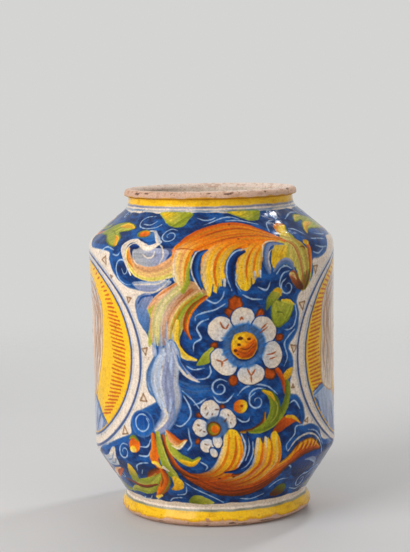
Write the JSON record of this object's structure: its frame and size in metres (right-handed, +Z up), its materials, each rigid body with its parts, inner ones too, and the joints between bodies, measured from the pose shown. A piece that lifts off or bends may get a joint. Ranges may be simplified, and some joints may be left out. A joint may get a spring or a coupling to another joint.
{
  "type": "albarello",
  "caption": "Wide tin-glazed albarello, a storage jar with a sloping shoulder, short neck, rolled lip and flared foot, painted with scroll panels between oval medallions.",
  "frame": {"origin": "centre of the foot on the resting plane", "axes": "+Z up along the jar's axis, -Y out of the front scroll panel, medallions on -X and +X"},
  "size_m": [0.2268, 0.2268, 0.3],
  "materials": {
    "clay": "bare fired earthenware, matt, worn and chipped at the lip and the foot",
    "white_glaze": "opaque tin glaze, glossy, warm white with fine crackle and pinholes",
    "yellow_glaze": "glossy tin glaze, brushed antimony yellow shaded with orange",
    "cobalt_glaze": "glossy tin glaze, brushed cobalt ground with reserved scrollwork",
    "lined_glaze": "glossy white tin glaze with painted blue and green lines"
  },
  "bodies": {
    "root": {"clay_body": "clay", "lining_glaze": "white_glaze", "foot_band": "yellow_glaze", "foot_lines": "lined_glaze", "front_panel": "cobalt_glaze", "rear_panel": "cobalt_glaze", "left_medallion": "yellow_glaze", "right_medallion": "yellow_glaze", "left_border": "lined_glaze", "right_border": "lined_glaze", "left_surround": "white_glaze", "right_surround": "white_glaze", "neck_lines": "lined_glaze", "neck_band": "yellow_glaze"}
  },
  "joints": []
}
